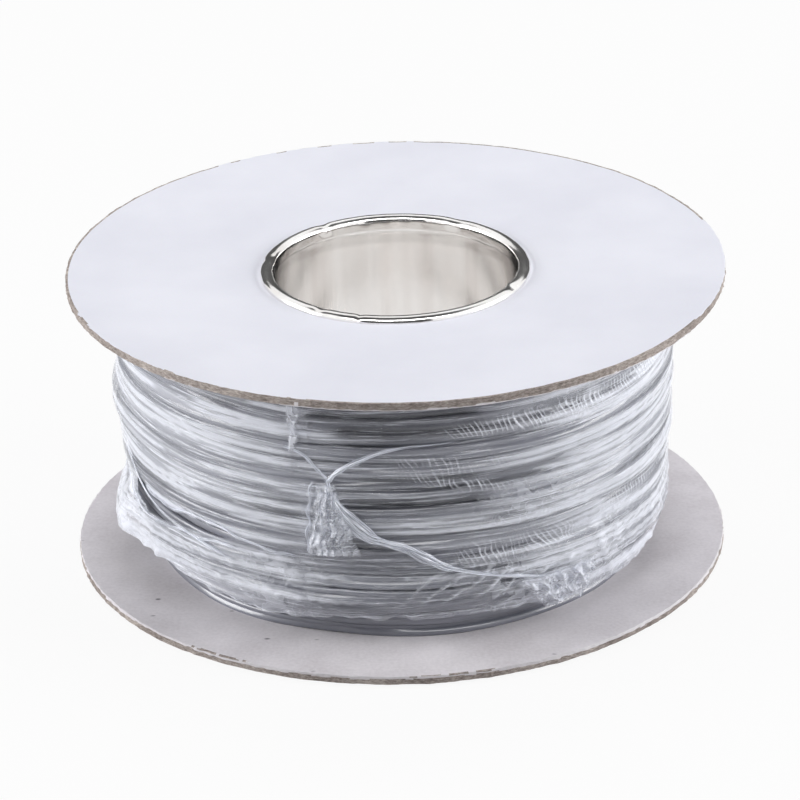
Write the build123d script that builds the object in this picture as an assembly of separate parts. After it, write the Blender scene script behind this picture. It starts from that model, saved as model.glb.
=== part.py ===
from build123d import *
import os
from math import cos, degrees, pi

# A reel of flat two-core cable. Two laminated cardboard flanges sit on the necks of a tinplate
# core, held between its shoulders and its rolled lips. The cable is wound between them, its
# cut end lies at the back, and clear stretch film is wrapped round it all. The reel stands on
# its lower rim with its axis on Z, so Z = 0 is the floor. Everything is in millimetres.

os.makedirs("parts", exist_ok=True)

# --- Driving dimensions -------------------------------------------------------------------

# Flanges, greyboard with white paper on the outer face
flange_d = 200.0        # across the rim
reel_w = 91.4           # over the outer faces of the two rims
flange_t = 2.5          # board and paper together
flange_dish = 2.4       # how far the winding has pushed each rim outwards
flange_sides = 64       # flats that stand for the round edge of so shallow a cone

# Tinplate core
bore_d = 73.8           # clear way through the two necks
tin_t = 0.4             # sheet thickness
neck_gap = 0.15         # between a neck and the flange's hole
lip_w = 4.2             # rolled lip, from the neck's bore outwards
lip_h = 2.0             # how far the lip stands above the flange
lip_bevel = 1.2         # width of the slope on each side of the lip's crown
shoulder_w = 2.9        # step from the neck out to the wider barrel
shoulder_t = 1.2        # shoulder, folded flat from the sheet
seam_w = 7.0            # overlap where the sheet is joined into a tube
seam_at = 84.0          # place of the overlap, in degrees round the core

# Cable, and how it is wound
cable_w = 4.6           # across the two cores
cable_t = 2.3           # through one core
conductor_d = 0.8       # over one stranded conductor
turn_room = 4.7         # height that each turn takes, or a little more
groove_depth = 1.0      # how deep the winding is cut between two turns
web_depth = 0.6         # how deep it is cut between the two cores of a turn
wound_d = 171.0         # over the outermost layer
layers_missing = (1, 1, 1, 1, 2, 3, 4)   # over each of the lowest turns, where the outermost
                        # layer has stopped, down to the lower flange
winding_sides = 30      # flats round the winding, few enough to keep its many turns light
last_turn_gap = 22.0    # part of the last outer turn that is missing, in degrees
last_turn_at = 96.0     # where the last turn stops, in degrees round the reel
end_l = 10.0            # the cable's straight cut end
fit_gap = 0.1           # between pieces that are wound, laid or folded against each other

# Stretch film
film_t = 0.3            # several layers of film together
film_gap = 0.8          # between the outermost turns and the film
film_hem_h = 9.3        # from the lower flange up to the film's hem
film_skirts = ((194, 18), (346, 15), (70, 19), (122, 16))   # where the film hangs straight from
                        # the outermost layer: middle and half width, in degrees round the reel

# --- Sizes that follow --------------------------------------------------------------------

flange_r = flange_d / 2
mid_z = reel_w / 2
bore_r = bore_d / 2
neck_r = bore_r + tin_t
hole_r = neck_r + neck_gap
lip_r = bore_r + lip_w
barrel_in_r = bore_r + shoulder_w
barrel_r = barrel_in_r + tin_t
wound_r = wound_d / 2
wound_in_r = (barrel_r + tin_t + fit_gap) / cos(pi / winding_sides)   # clear of the seam
film_in_r = wound_r + film_gap


def outer_face(r):
    """Height of the upper flange's outer face over mid-height, at a radius."""
    return reel_w / 2 - flange_dish * (flange_r - r) / (flange_r - hole_r)


def inner_face(r):
    """Height of the upper flange's inner face over mid-height, at a radius."""
    return outer_face(r) - flange_t


def turned(outline):
    """A solid turned about Z, from its outline as (radius, height over mid-height) points."""
    points = [(r, 0, mid_z + h) for r, h in outline]
    return revolve(make_face(Polyline(*points, close=True)), Axis.Z)


def in_flats(outline, sides):
    """The ring that turned() would make of the outline, but with this many flat sides."""
    return ring_of([outline] * sides)


def ring_of(outlines):
    """A closed ring of flats through outlines that stand at even angles round Z."""
    sides = len(outlines)
    rings = [
        [Vector(r, 0, mid_z + h).rotate(Axis.Z, 360 * k / sides) for k, (r, h) in enumerate(points)]
        for points in zip(*outlines)
    ]
    flats = []
    for low, high in zip(rings, rings[1:] + rings[:1]):
        for k in range(sides):
            a, b, c, d = low[k - 1], low[k], high[k], high[k - 1]
            level = outlines[k - 1] == outlines[k]
            flats += [(a, b, c, d)] if level else [(a, b, c), (a, c, d)]
    return Solid(Shell([Face(Wire.make_polygon(flat)) for flat in flats]))


def below(solid):
    """The same piece at the lower flange."""
    return mirror(solid, Plane.XY.offset(mid_z))


def at_angle(angle, radius, height):
    """A place on the reel with X pointing outwards and Y along the turns."""
    return Rot(0, 0, angle) * Pos(radius, 0, mid_z + height)


# --- Flanges ------------------------------------------------------------------------------

def flange():
    """Upper flange: a die-cut disc, bent outwards a little by the winding."""
    return in_flats([
        (hole_r, inner_face(hole_r)),
        (flange_r, inner_face(flange_r)),
        (flange_r, outer_face(flange_r)),
        (hole_r, outer_face(hole_r)),
    ], flange_sides)


top_flange = flange()
bottom_flange = below(top_flange)


# --- Core ---------------------------------------------------------------------------------

def core_half():
    """Upper half of the core: barrel, folded shoulder, neck and rolled lip."""
    shoulder = inner_face(neck_r) - fit_gap
    lip_top = outer_face(neck_r) + lip_h
    return turned([
        (barrel_in_r, 0),
        (barrel_in_r, shoulder - shoulder_t),
        (bore_r, shoulder - shoulder_t),
        (bore_r, lip_top - lip_bevel),
        (bore_r + lip_bevel, lip_top),
        (lip_r - lip_bevel, lip_top),
        (lip_r, outer_face(lip_r) + fit_gap),
        (neck_r, outer_face(neck_r) + fit_gap),
        (neck_r, shoulder),
        (barrel_r, shoulder),
        (barrel_r, 0),
    ])


def seam():
    """Outer layer of the sheet where its two edges overlap, up the back of the barrel."""
    height = 2 * (inner_face(neck_r) - fit_gap - shoulder_t)
    strip = at_angle(seam_at, barrel_r, 0) * Box(4 * tin_t, seam_w, height)
    layer = Cylinder(barrel_r + tin_t, reel_w) - Cylinder(barrel_r - tin_t / 2, reel_w)
    return strip & (Pos(0, 0, mid_z) * layer)


core_tube = core_half() + below(core_half()) + seam()


# --- Winding ------------------------------------------------------------------------------

winding_h = 2 * (inner_face(wound_r) - fit_gap)
turns_high = int(winding_h / turn_room)
turn_pitch = winding_h / turns_high
outer_turns = turns_high - len(layers_missing)


def layers_over_turns():
    """How many layers are missing over each turn, from the upper flange to the lower one."""
    return [0] * outer_turns + list(layers_missing)


def turn_height(turn):
    """Height of a turn's middle over mid-height, counted from the upper flange."""
    return inner_face(wound_r) - fit_gap - (turn + 0.5) * turn_pitch


def wound_outline():
    """Outline of the winding: the two cores of every turn, with a groove between the turns."""
    layers = layers_over_turns()
    outline = [(wound_in_r, inner_face(wound_in_r) - fit_gap)]
    edge_r = wound_r - groove_depth
    outline.append((edge_r, turn_height(-0.5)))
    for turn, missing in enumerate(layers):
        crest_r = wound_r - missing * cable_t
        next_missing = layers[min(turn + 1, len(layers) - 1)]
        groove_r = wound_r - max(missing, next_missing) * cable_t - groove_depth
        outline.append((crest_r, turn_height(turn) + cable_t / 2))
        outline.append((crest_r - web_depth, turn_height(turn)))
        outline.append((crest_r, turn_height(turn) - cable_t / 2))
        outline.append((groove_r, turn_height(turn + 0.5)))
    last_r = outline.pop()[0]
    outline.append((last_r, -inner_face(last_r) + fit_gap))
    outline.append((wound_in_r, -inner_face(wound_in_r) + fit_gap))
    return outline


def last_turn_space():
    """The part of the outer layer's last turn that the cable doesn't reach."""
    floor_r = wound_r - cable_t
    section = Pos(floor_r + cable_t, 0, mid_z + turn_height(outer_turns - 1)) * Rot(90, 0, 0)
    sector = revolve(section * Rectangle(2 * cable_t, turn_pitch), Axis.Z, last_turn_gap)
    return Rot(0, 0, last_turn_at) * sector


cable_winding = in_flats(wound_outline(), winding_sides) - last_turn_space()


# --- Cut end of the cable -----------------------------------------------------------------

def end_place():
    """Middle of the cut end, which lies on the layer below and meets the last turn."""
    axis_r = wound_r - cable_t / 2 + fit_gap / 2
    along = degrees((end_l / 2 + fit_gap) / axis_r)
    return at_angle(last_turn_at + along, axis_r, turn_height(outer_turns - 1)) * Rot(90, 0, 0)


def over_cores(shape):
    """One copy of a shape on each core of the cable."""
    spacing = cable_w - cable_t
    return [Pos(0, side * spacing / 2, 0) * shape for side in (-1, 1)]


def cut_end(section):
    """A length of the cable's end with this section."""
    return end_place() * extrude(section, end_l / 2, both=True)


def insulation():
    """Section of the cable's insulation: two rounds joined by a web, hollow for the cores."""
    rounds = over_cores(Circle(cable_t / 2))
    web = Rectangle(cable_t / 2, cable_w - cable_t)
    hollows = over_cores(Circle(conductor_d / 2))
    return rounds[0] + rounds[1] + web - hollows[0] - hollows[1]


cable_end = cut_end(insulation())
conductor_lower, conductor_upper = map(cut_end, over_cores(Circle(conductor_d / 2)))


# --- Stretch film -------------------------------------------------------------------------

def drawn_in(angle):
    """How far the film is drawn in under the outermost layer: 1 fully, 0 in a skirt's middle."""
    away = [abs((angle - middle + 180) % 360 - 180) / half for middle, half in film_skirts]
    return min(1, *away)


def film_outline(angle):
    """The film from the upper flange down to its hem, at one angle round the reel."""
    over = {missing: film_in_r - missing * cable_t * drawn_in(angle) for missing in (0, 1, 2)}
    first = outer_turns - 0.5
    second = first + layers_missing.count(1)
    inside = [
        (over[0], inner_face(film_in_r) - fit_gap),
        (over[0], turn_height(first)),
        (over[1], turn_height(first + 0.5)),
        (over[1], turn_height(second)),
        (over[2], turn_height(second + 0.5)),
        (over[2], film_hem_h - inner_face(film_in_r)),
    ]
    return inside + [(r + film_t, h) for r, h in reversed(inside)]


film_wrap = ring_of([film_outline(360 * k / winding_sides) for k in range(winding_sides)])

# --- Export -------------------------------------------------------------------------------

pieces = {
    "top_flange": top_flange,
    "bottom_flange": bottom_flange,
    "core_tube": core_tube,
    "cable_winding": cable_winding,
    "cable_end": cable_end,
    "conductor_lower": conductor_lower,
    "conductor_upper": conductor_upper,
    "film_wrap": film_wrap,
}

for name, piece in pieces.items():
    export_step(piece, f"parts/{name}.step")
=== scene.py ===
# A reel of flat two-core cable: laminated card flanges on a rolled tinplate core, grey PVC cable
# wound between them, and clear stretch film wrapped round the winding.
# Lengths are in millimetres until MM makes them metres, and the staging is in metres. Heights
# called h are over the reel's mid-height. An azimuth is in degrees, 0 at the front (-Y) and
# growing towards +X.

import math

import bpy
import numpy as np
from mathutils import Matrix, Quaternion, Vector


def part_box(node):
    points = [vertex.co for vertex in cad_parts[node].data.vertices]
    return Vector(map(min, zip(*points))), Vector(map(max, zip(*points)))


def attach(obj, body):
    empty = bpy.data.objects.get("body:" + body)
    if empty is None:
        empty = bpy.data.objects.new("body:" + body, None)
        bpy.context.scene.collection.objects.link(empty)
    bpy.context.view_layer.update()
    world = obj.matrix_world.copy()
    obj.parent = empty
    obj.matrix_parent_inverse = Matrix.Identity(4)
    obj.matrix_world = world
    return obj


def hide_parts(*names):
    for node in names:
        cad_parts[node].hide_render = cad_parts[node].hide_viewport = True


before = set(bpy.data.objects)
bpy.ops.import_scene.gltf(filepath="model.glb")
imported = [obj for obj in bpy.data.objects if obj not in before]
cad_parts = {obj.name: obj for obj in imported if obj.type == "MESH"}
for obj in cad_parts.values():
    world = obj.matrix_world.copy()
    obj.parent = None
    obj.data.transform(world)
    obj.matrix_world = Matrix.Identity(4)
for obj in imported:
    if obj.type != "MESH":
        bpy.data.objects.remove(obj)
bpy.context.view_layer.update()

MM = 0.001
rim_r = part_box("top_flange")[1].x / MM
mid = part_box("top_flange")[1].z / MM / 2
lip_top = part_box("core_tube")[1].z / MM - mid
wound_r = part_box("cable_winding")[1].x / MM
wind_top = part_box("cable_winding")[1].z / MM - mid

board_t, dish = 2.5, 2.4                # board with its paper, and how far a rim is bent outwards
bore_r, neck_r, hole_r = 36.9, 37.3, 37.45
lip_r, barrel_in_r, barrel_r = 41.1, 39.8, 40.2
core_d = 2.3                            # one core over its insulation
layers_missing = (1, 1, 1, 1, 2, 3, 4)  # over each of the lowest turns, downwards

FULL_TURN = 6.28                        # in radians, near enough for waves
FILM_R = 86                             # about how far out the film lies
DEGREE = 1.5                            # about how long one degree is out there


# --- Small tools --------------------------------------------------------------------------

def deselect():
    bpy.ops.object.select_all(action="DESELECT")


def only(piece):
    deselect()
    piece.select_set(True)
    bpy.context.view_layer.objects.active = piece


def settle(piece, name):
    """Puts the piece's place into its mesh and names both."""
    only(piece)
    bpy.ops.object.transform_apply(location=True, rotation=True, scale=True)
    piece.name = piece.data.name = name
    return piece


def use_modifier(piece, kind, **settings):
    only(piece)
    modifier = piece.modifiers.new(kind.lower(), kind)
    for key, value in settings.items():
        setattr(modifier, key, value)
    bpy.ops.object.modifier_apply(modifier=modifier.name)


def points_of(piece):
    """The mesh's vertices, with Z over mid-height."""
    flat = np.empty(len(piece.data.vertices) * 3)
    piece.data.vertices.foreach_get("co", flat)
    points = flat.reshape(-1, 3) / MM
    points[:, 2] -= mid
    return points


def set_points(piece, points):
    placed = points.copy()
    placed[:, 2] += mid
    piece.data.vertices.foreach_set("co", (placed * MM).ravel())
    piece.data.update()


def polar(points):
    """Radius, azimuth and height of each point."""
    x, y, h = points.T
    return np.hypot(x, y), np.degrees(np.arctan2(x, -y)), h.copy()


def unpolar(radius, azimuth, height):
    a = np.radians(azimuth)
    return np.stack([radius * np.sin(a), -radius * np.cos(a), height + 0 * radius], axis=1)


def ripple(azimuth, seed, slowest, fastest):
    """A smooth uneven line round the reel, about -1 to 1, the same at 0 and at 360 degrees."""
    dice = np.random.default_rng(seed)
    a = np.radians(azimuth)
    total = np.zeros_like(a)
    for wave in range(slowest, fastest + 1):
        total += dice.normal() * np.cos(wave * a + dice.uniform(0, 2 * math.pi))
    return total / math.sqrt(fastest - slowest + 1)


def bump_at(x, centre, width):
    """One soft hump of height 1."""
    return np.exp(-((x - centre) / width) ** 2)


def beside(azimuth, centre):
    """Degrees from the centre azimuth, the short way round."""
    return (azimuth - centre + 180) % 360 - 180


def step(x, start, end):
    """0 before start, 1 after end, smooth between."""
    t = np.clip((x - start) / (end - start), 0, 1)
    return t * t * (3 - 2 * t)


def edit_all():
    """Opens the active piece in edit mode, with all of it selected."""
    bpy.ops.object.mode_set(mode="EDIT")
    bpy.ops.mesh.select_all(action="SELECT")


def turned(outline, sides):
    """A skin turned about Z, drawn out ring by ring along (radius, h) points."""
    deselect()
    radius, height = outline[0]
    bpy.ops.mesh.primitive_circle_add(vertices=sides, radius=radius * MM,
                                      location=(0, 0, (mid + height) * MM))
    skin = bpy.context.object
    edit_all()
    for next_radius, next_height in outline[1:]:
        rise = (next_height - height) * MM
        grow = next_radius / radius
        bpy.ops.mesh.extrude_edges_move(TRANSFORM_OT_translate={"value": (0, 0, rise)})
        bpy.ops.transform.resize(value=(grow, grow, 1), center_override=(0, 0, 0))
        radius, height = next_radius, next_height
    bpy.ops.mesh.select_all(action="SELECT")
    bpy.ops.mesh.remove_doubles(threshold=0.00001)
    bpy.ops.mesh.normals_make_consistent(inside=False)
    bpy.ops.object.mode_set(mode="OBJECT")
    return settle(skin, "skin")


def mark(piece, name, values):
    """Keeps a value from 0 to 1 at each vertex, for the finish to read."""
    layer = piece.data.attributes.new(name, "FLOAT", "POINT")
    layer.data.foreach_set("value", np.clip(values, 0, 1))


def flat_sheet(columns, rows):
    """A flat grid, and where its vertices lie on it, from -0.5 to 0.5 both ways."""
    deselect()
    bpy.ops.mesh.primitive_grid_add(x_subdivisions=columns, y_subdivisions=rows, size=1,
                                    calc_uvs=True)
    sheet = bpy.context.object
    flat = np.empty(len(sheet.data.vertices) * 3)
    sheet.data.vertices.foreach_get("co", flat)
    return sheet, flat[0::3], flat[1::3]


def lay_sheet(sheet, points, across, along, marks):
    """Lays the grid on its points, and keeps its pattern's directions and its marks."""
    set_points(sheet, points)
    corner = np.empty(len(sheet.data.loops), dtype=np.int32)
    sheet.data.loops.foreach_get("vertex_index", corner)
    sheet.data.uv_layers[0].name = "sheet"
    pattern = np.stack([across, along], axis=1)[corner]
    sheet.data.uv_layers[0].data.foreach_set("uv", pattern.ravel())
    for name, values in marks.items():
        mark(sheet, name, values)


def finish_faces(piece, materials, choose=None, smooth_angle=40):
    """Gives the piece its materials, each face the one that choose() picks, and shades it."""
    piece.data.materials.clear()
    for material in materials:
        piece.data.materials.append(material)
    for face in piece.data.polygons:
        face.material_index = choose(face) if choose else 0
    only(piece)
    bpy.ops.object.shade_smooth_by_angle(angle=math.radians(smooth_angle))


def colour(hex_value):
    """An sRGB hex value as the linear colour that shaders take."""
    parts = [int(hex_value[i:i + 2], 16) / 255 for i in (1, 3, 5)]
    return (*[p / 12.92 if p <= 0.04045 else ((p + 0.055) / 1.055) ** 2.4 for p in parts], 1)


def grey(value):
    return (value, value, value, 1)


def add(material, kind, settings=None, inputs=None):
    """Adds a shader node, with its settings and its inputs or links."""
    made = material.node_tree.nodes.new("ShaderNode" + kind)
    for key, value in (settings or {}).items():
        if key == "stops":
            ramp = made.color_ramp.elements
            while len(ramp) < len(value):
                ramp.new(0.5)
            for element, (place, shade) in zip(ramp, value):
                element.position, element.color = place, colour(shade)
        else:
            setattr(made, key, value)
    for key, value in (inputs or {}).items():
        if isinstance(value, bpy.types.Node):
            value = value.outputs[0]
        if isinstance(value, bpy.types.NodeSocket):
            material.node_tree.links.new(value, made.inputs[key])
        else:
            made.inputs[key].default_value = colour(value) if isinstance(value, str) else value
    return made


def new_material(name):
    material = bpy.data.materials.new(name)
    material.use_nodes = True
    material.node_tree.nodes.clear()
    return material


def close_material(material, shader, inputs):
    """Ends the material with its shader, linked to the output."""
    surface = add(material, shader, inputs=inputs)
    add(material, "OutputMaterial", inputs={"Surface": surface})
    return material


# --- Finishes -----------------------------------------------------------------------------

TIMES = {"operation": "MULTIPLY"}
TIMES_PLUS = {"operation": "MULTIPLY_ADD"}
LARGER = {"operation": "MAXIMUM"}


def laminated_paper():
    """Smooth white liner paper: matt, faintly blue, with the board's grain just felt under it."""
    m = new_material("white_liner_paper")
    place = add(m, "TexCoord").outputs["Object"]
    cloud = add(m, "TexNoise", inputs={"Vector": place, "Scale": 28.0, "Detail": 3.0})
    # Fibre is 0.05 mm, drawn at 0.7 mm so that it shows.
    fibre = add(m, "TexNoise", inputs={"Vector": place, "Scale": 1400.0, "Detail": 2.0})
    tint = add(m, "ValToRGB", {"stops": [(0.3, "#E3E4EE"), (0.7, "#EBECF5")]}, {"Fac": cloud})
    dust = add(m, "Mix", {"data_type": "RGBA", "blend_type": "MULTIPLY"},
               {"Factor": 0.05, "A": tint, "B": fibre.outputs["Color"]})
    relief = add(m, "Bump", inputs={"Strength": 0.12, "Distance": 0.0001, "Height": fibre})
    return close_material(m, "BsdfPrincipled", {
        "Base Color": dust.outputs["Result"], "Roughness": 0.85, "IOR": 1.45,
        "Specular IOR Level": 0.3, "Normal": relief})


def greyboard():
    """Unlined recycled board: warm grey, clouded, with a few dark flecks of old print."""
    m = new_material("greyboard")
    place = add(m, "TexCoord").outputs["Object"]
    cloud = add(m, "TexNoise", inputs={"Vector": place, "Scale": 45.0, "Detail": 4.0})
    pulp = add(m, "TexNoise", inputs={"Vector": place, "Scale": 900.0, "Detail": 3.0})
    tone = add(m, "Math", TIMES_PLUS, {0: pulp, 1: 0.45, 2: cloud})
    board = add(m, "ValToRGB", {"stops": [(0.45, "#C9C4C8"), (0.72, "#D9D5D9"),
                                          (0.95, "#E4E0E4")]}, {"Fac": tone})
    # Flecks about 1 mm long, one in each 9 mm or so.
    bent = add(m, "Mapping",
               inputs={"Vector": place, "Rotation": (0, 0, 0.5), "Scale": (0.55, 1.0, 1.0)})
    spread = add(m, "TexVoronoi", inputs={"Vector": bent, "Scale": 130.0})
    fleck = add(m, "MapRange", inputs={0: spread, 1: 0.035, 2: 0.085, 3: 1.0, 4: 0.0})
    rare = add(m, "TexNoise", inputs={"Vector": place, "Scale": 75.0, "Detail": 0.0})
    often = add(m, "MapRange", inputs={0: rare, 1: 0.40, 2: 0.48, 4: 0.85})
    amount = add(m, "Math", TIMES, {0: fleck, 1: often})
    shade = add(m, "Mix", {"data_type": "RGBA"}, {"Factor": amount, "A": board, "B": "#4D4A52"})
    relief = add(m, "Bump", inputs={"Strength": 0.3, "Distance": 0.0002, "Height": tone})
    return close_material(m, "BsdfPrincipled", {
        "Base Color": shade.outputs["Result"], "Roughness": 0.85, "IOR": 1.45,
        "Normal": relief})


def cut_board():
    """The board's die-cut edge: brown-grey plies and torn fibre along the cut."""
    m = new_material("die_cut_board_edge")
    place = add(m, "TexCoord").outputs["Object"]
    plies = add(m, "Mapping", inputs={"Vector": place, "Scale": (1, 1, 3.2)})
    fibre = add(m, "TexNoise",
                inputs={"Vector": plies, "Scale": 700.0, "Detail": 5.0, "Roughness": 0.7})
    cloud = add(m, "TexNoise", inputs={"Vector": place, "Scale": 60.0, "Detail": 3.0})
    mixed = add(m, "Math", TIMES_PLUS, {0: cloud, 1: 0.4, 2: fibre})
    shade = add(m, "ValToRGB", {"stops": [(0.48, "#6A605C"), (0.66, "#958B86"),
                                          (0.80, "#B5ABA5"), (0.95, "#DAD2CC")]}, {"Fac": mixed})
    relief = add(m, "Bump", inputs={"Strength": 0.7, "Distance": 0.0004, "Height": fibre})
    return close_material(m, "BsdfPrincipled", {
        "Base Color": shade, "Roughness": 0.92, "IOR": 1.45, "Normal": relief})


def rolled_tinplate():
    """Bright tin over rolled steel: warm silver, soft streaks from the rolls, sharp bends."""
    m = new_material("rolled_tinplate")
    place = add(m, "TexCoord").outputs["Object"]
    upright = add(m, "Mapping", inputs={"Vector": place, "Scale": (1, 1, 0.02)})
    streak = add(m, "TexNoise", inputs={"Vector": upright, "Scale": 75.0, "Detail": 3.0})
    grain = add(m, "TexNoise", inputs={"Vector": upright, "Scale": 1500.0, "Detail": 2.0})
    bright = add(m, "ValToRGB", {"stops": [(0.35, "#EEEBE9"), (0.65, "#FBFAF9")]},
                 {"Fac": streak})
    # Painted shade: a darker band, 5 mm high, under each neck, where the neck's overhang shades the
    # barrel wall.
    level = add(m, "SeparateXYZ", inputs={0: place})
    height = add(m, "Math", {"operation": "SUBTRACT"}, {0: level.outputs["Z"], 1: mid * MM})
    away = add(m, "Math", {"operation": "ABSOLUTE"}, {0: height})
    band = add(m, "MapRange", inputs={0: away, 1: 0.0348, 2: 0.0362, 4: 0.16})
    lip = add(m, "MapRange", inputs={0: away, 1: 0.0434, 2: 0.0438, 3: 1.0, 4: 0.0})
    neck_shade = add(m, "Math", TIMES, {0: band, 1: lip})
    tint = add(m, "Mix", {"data_type": "RGBA"}, {"Factor": neck_shade, "A": bright, "B": "#8F8984"})
    gloss = add(m, "MapRange", inputs={0: streak, 1: 0.3, 2: 0.7, 3: 0.08, 4: 0.17})
    relief = add(m, "Bump", inputs={"Strength": 0.05, "Distance": 0.0002, "Height": grain})
    return close_material(m, "BsdfPrincipled", {
        "Base Color": tint.outputs["Result"], "Metallic": 1.0, "Roughness": gloss,
        "Normal": relief})


def extruded_pvc():
    """Plasticised PVC sheath: cool mid grey, smooth from the die, with a soft long sheen."""
    m = new_material("extruded_pvc_sheath")
    place = add(m, "TexCoord").outputs["Object"]
    along = add(m, "Mapping", inputs={"Vector": place, "Scale": (1, 1, 6)})
    drift = add(m, "TexNoise", inputs={"Vector": along, "Scale": 30.0, "Detail": 2.0})
    scuff = add(m, "TexNoise", inputs={"Vector": along, "Scale": 420.0, "Detail": 2.0})
    tint = add(m, "ValToRGB", {"stops": [(0.3, "#656771"), (0.7, "#858792")]}, {"Fac": drift})
    gloss = add(m, "MapRange", inputs={0: scuff, 1: 0.35, 2: 0.65, 3: 0.28, 4: 0.40})
    relief = add(m, "Bump", inputs={"Strength": 0.08, "Distance": 0.0003, "Height": scuff})
    # Painted shade: where the turns lie deep between their neighbours they are in shade, painted
    # darker, with less coat.
    deep = add(m, "Attribute", {"attribute_name": "deep"}).outputs["Fac"]
    shade = add(m, "Math", TIMES, {0: deep, 1: 0.80})
    sheath = add(m, "Mix", {"data_type": "RGBA"}, {"Factor": shade, "A": tint, "B": "#26272C"})
    sheen = add(m, "Math", TIMES_PLUS, {0: deep, 1: -0.6, 2: 0.8})
    return close_material(m, "BsdfPrincipled", {
        "Base Color": sheath.outputs["Result"], "Roughness": gloss, "IOR": 1.53,
        "Coat Weight": sheen, "Coat Roughness": 0.10, "Normal": relief})


def drawn_copper():
    """Bare drawn copper wire, bright where it was cut."""
    m = new_material("drawn_copper_strand")
    place = add(m, "TexCoord").outputs["Object"]
    tarnish = add(m, "TexNoise", inputs={"Vector": place, "Scale": 900.0, "Detail": 2.0})
    tint = add(m, "ValToRGB", {"stops": [(0.35, "#B06A48"), (0.7, "#D9936C")]}, {"Fac": tarnish})
    return close_material(m, "BsdfPrincipled", {
        "Base Color": tint, "Metallic": 1.0, "Roughness": 0.28})


def stretch_film_sheet():
    """Clear polyethylene stretch film: nearly unseen where it lies flat, white where it is crumpled
    or drawn into fine pleats, with sharp small glints painted in as whiter facets."""
    m = new_material("clear_stretch_film")
    uv = add(m, "UVMap", {"uv_map": "sheet"})                 # 1 unit is 100 mm
    veil, pleats, crumple, torn = (add(m, "Attribute", {"attribute_name": name}).outputs["Fac"]
                                   for name in ("veil", "pleats", "crumple", "torn"))
    # Pleats across the deep grooves: about 1.7 mm apart, 0.5 mm wide, all leaning one way.
    sides = add(m, "SeparateXYZ", inputs={0: uv})
    sway = add(m, "TexNoise", inputs={"Vector": uv, "Scale": 7.0, "Detail": 1.0})
    swung = add(m, "Math", TIMES, {0: sway, 1: 5.0})
    lean = add(m, "Math", TIMES_PLUS, {0: sides.outputs["Y"], 1: 30.0, 2: swung})
    row = add(m, "Math", TIMES_PLUS, {0: sides.outputs["X"], 1: 60.0, 2: lean})
    tick = add(m, "TexVoronoi", {"voronoi_dimensions": "1D"},
               {"W": row, "Scale": 1.0, "Randomness": 0.30})
    line = add(m, "MapRange", inputs={0: tick, 1: 0.05, 2: 0.26, 3: 1.0, 4: 0.0})
    each = add(m, "SeparateColor", inputs={0: tick.outputs["Color"]})
    strength = add(m, "MapRange", inputs={0: each, 1: 0.1, 2: 0.8, 3: 0.45})
    uneven = add(m, "Math", TIMES, {0: line, 1: strength})
    pleat = add(m, "Math", TIMES, {0: uneven, 1: pleats})
    # Long drawn streaks: 25 mm long, 0.6 mm high.
    drawn = add(m, "Mapping", inputs={"Vector": uv, "Scale": (3.6, 120, 1)})
    grain = add(m, "TexNoise", inputs={"Vector": drawn, "Scale": 1.0, "Detail": 5.0,
                                       "Roughness": 0.68, "Distortion": 0.2})
    streak = add(m, "MapRange", inputs={0: grain, 1: 0.52, 2: 0.64})
    # Crumpled facets: about 3 mm across, each a little more or less white as a painted glint, with
    # 0.2 mm creases.
    bent = add(m, "TexNoise", inputs={"Vector": uv, "Scale": 22.0, "Detail": 2.0})
    moved = add(m, "Mix", {"data_type": "RGBA", "blend_type": "LINEAR_LIGHT"},
                {"Factor": 0.05, "A": uv, "B": bent.outputs["Color"]})
    cells = add(m, "Mapping", inputs={"Vector": moved.outputs["Result"], "Scale": (22, 40, 1),
                                      "Rotation": (0, 0, 0.35)})
    facet = add(m, "TexVoronoi", {"feature": "DISTANCE_TO_EDGE", "voronoi_dimensions": "2D"},
                {"Vector": cells, "Scale": 1.0})
    patch = add(m, "TexVoronoi", {"voronoi_dimensions": "2D"}, {"Vector": cells, "Scale": 1.0})
    edge = add(m, "MapRange", inputs={0: facet, 1: 0.01, 2: 0.07, 3: 0.85, 4: 0.0})
    shade = add(m, "SeparateColor", inputs={0: patch.outputs["Color"]})
    glint = add(m, "MapRange", inputs={0: shade, 1: 0.45, 2: 1.0, 4: 0.75})
    sharp = add(m, "Math", LARGER, {0: edge, 1: glint})
    crease = add(m, "Math", TIMES, {0: sharp, 1: crumple})
    # Each mark makes the film whiter; the white added at a grazing look is a painted reflection.
    white_streak = add(m, "Math", TIMES, {0: streak, 1: 0.95})
    share = add(m, "Math", TIMES_PLUS, {0: veil, 1: 0.70, 2: 0.52})
    grazing = add(m, "LayerWeight", inputs={"Blend": 0.25}).outputs["Facing"]
    white = add(m, "Math", TIMES_PLUS, {0: veil, 1: 0.72, 2: 0.02})
    for layer, part in ((white_streak, share), (pleat, 0.90), (crease, 0.80), (grazing, 0.25)):
        white = add(m, "Math", TIMES_PLUS, {0: layer, 1: part, 2: white})
    most = add(m, "Math", {"operation": "MINIMUM", "use_clamp": True}, {0: white, 1: 0.96})
    whole = add(m, "Math", {"operation": "SUBTRACT"}, {0: 1.0, 1: torn})
    alpha = add(m, "Math", TIMES, {0: most, 1: whole})
    height = add(m, "Math", TIMES, {0: streak, 1: 0.6})
    for layer, part in ((crease, 0.8), (pleat, 0.9)):
        height = add(m, "Math", TIMES_PLUS, {0: layer, 1: part, 2: height})
    relief = add(m, "Bump", inputs={"Strength": 0.65, "Distance": 0.0006, "Height": height})
    return close_material(m, "BsdfPrincipled", {
        "Base Color": "#F2F5FF", "Roughness": 0.13, "IOR": 1.51, "Alpha": alpha,
        "Normal": relief})


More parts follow.
